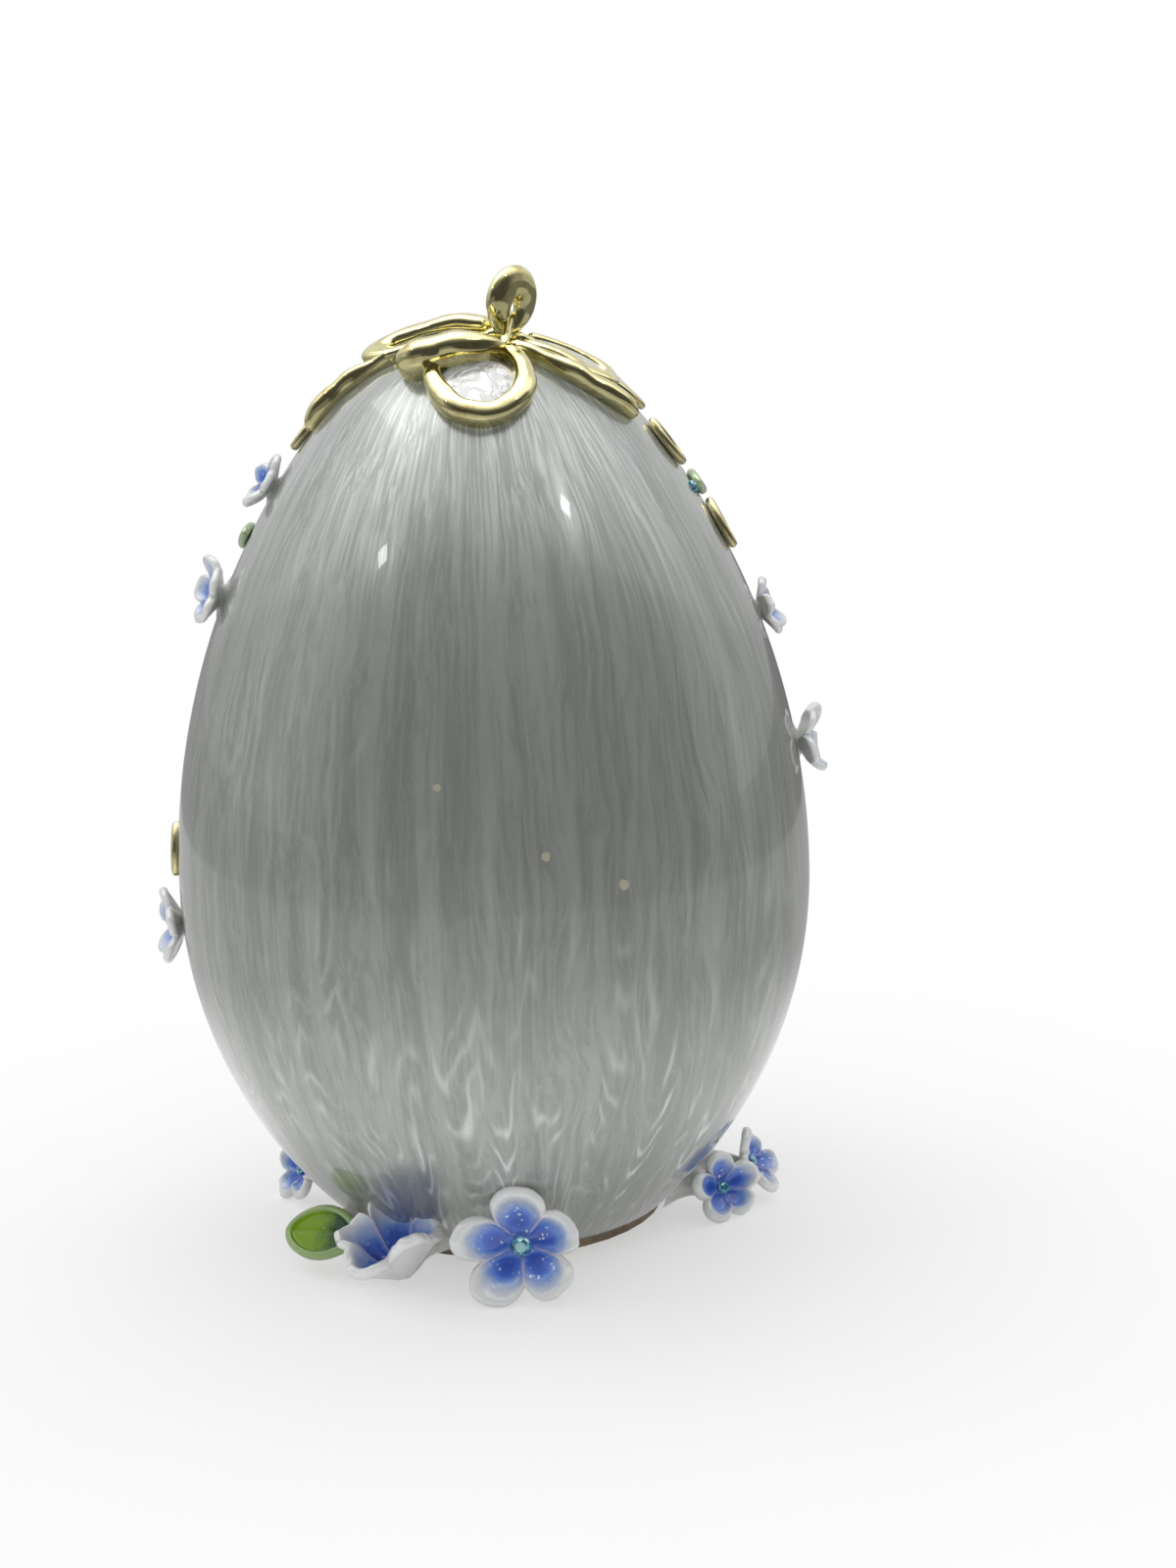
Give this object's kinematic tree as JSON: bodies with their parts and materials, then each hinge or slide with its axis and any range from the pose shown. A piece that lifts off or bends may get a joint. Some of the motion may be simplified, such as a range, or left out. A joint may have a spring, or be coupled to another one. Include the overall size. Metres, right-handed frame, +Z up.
{
  "type": "decorative egg on stand",
  "caption": "Enamelled metal egg that stands on cup-shaped flowers and leaves, with a garland round its far side and a ribbon bow on its crown.",
  "frame": {"origin": "on the table, under the egg's upright axis", "axes": "+Z up, -Y towards the plain side that the picture shows, +X to that viewer's right"},
  "size_m": [0.0772, 0.073, 0.1102],
  "materials": {
    "pearl_enamel": "glossy pearl",
    "petal_enamel": "glossy, blue heart and white rim",
    "leaf_enamel": "glossy",
    "gold": "polished",
    "crystal": "faceted",
    "base_metal": "satin"
  },
  "bodies": {
    "root": {"base_plate": "base_metal", "bow_fold": "gold", "bow_knot": "gold", "bow_left_loop": "gold", "bow_left_tail": "gold", "bow_rear_left_loop": "gold", "bow_rear_left_tail": "gold", "bow_rear_right_loop": "gold", "bow_rear_right_tail": "gold", "bow_right_loop": "gold", "bow_right_tail": "gold", "bow_ring": "gold", "bow_standing_loop": "gold", "egg_shell": "pearl_enamel", "foot_crystals": "crystal", "foot_flower_front": "petal_enamel", "foot_flower_front_left": "petal_enamel", "foot_flower_left": "petal_enamel", "foot_flower_rear": "petal_enamel", "foot_flower_rear_right": "petal_enamel", "foot_flower_right_front": "petal_enamel", "foot_flower_right_rear": "petal_enamel", "foot_leaf_front_left": "leaf_enamel", "foot_leaf_rear_left": "leaf_enamel", "garland_crystals": "crystal", "garland_flower_left_low": "petal_enamel", "garland_flower_left_top": "petal_enamel", "garland_flower_left_upper": "petal_enamel", "garland_flower_rear_low": "petal_enamel", "garland_flower_rear_middle": "petal_enamel", "garland_flower_rear_upper": "petal_enamel", "garland_flower_right_low": "petal_enamel", "garland_flower_right_upper": "petal_enamel", "garland_gold_leaf_left": "gold", "garland_gold_leaf_left_low": "gold", "garland_gold_leaf_rear": "gold", "garland_gold_leaf_right": "gold", "garland_gold_leaf_right_top": "gold", "garland_green_leaf_left": "leaf_enamel", "garland_green_leaf_rear": "leaf_enamel", "garland_green_leaf_right": "leaf_enamel"}
  },
  "joints": []
}
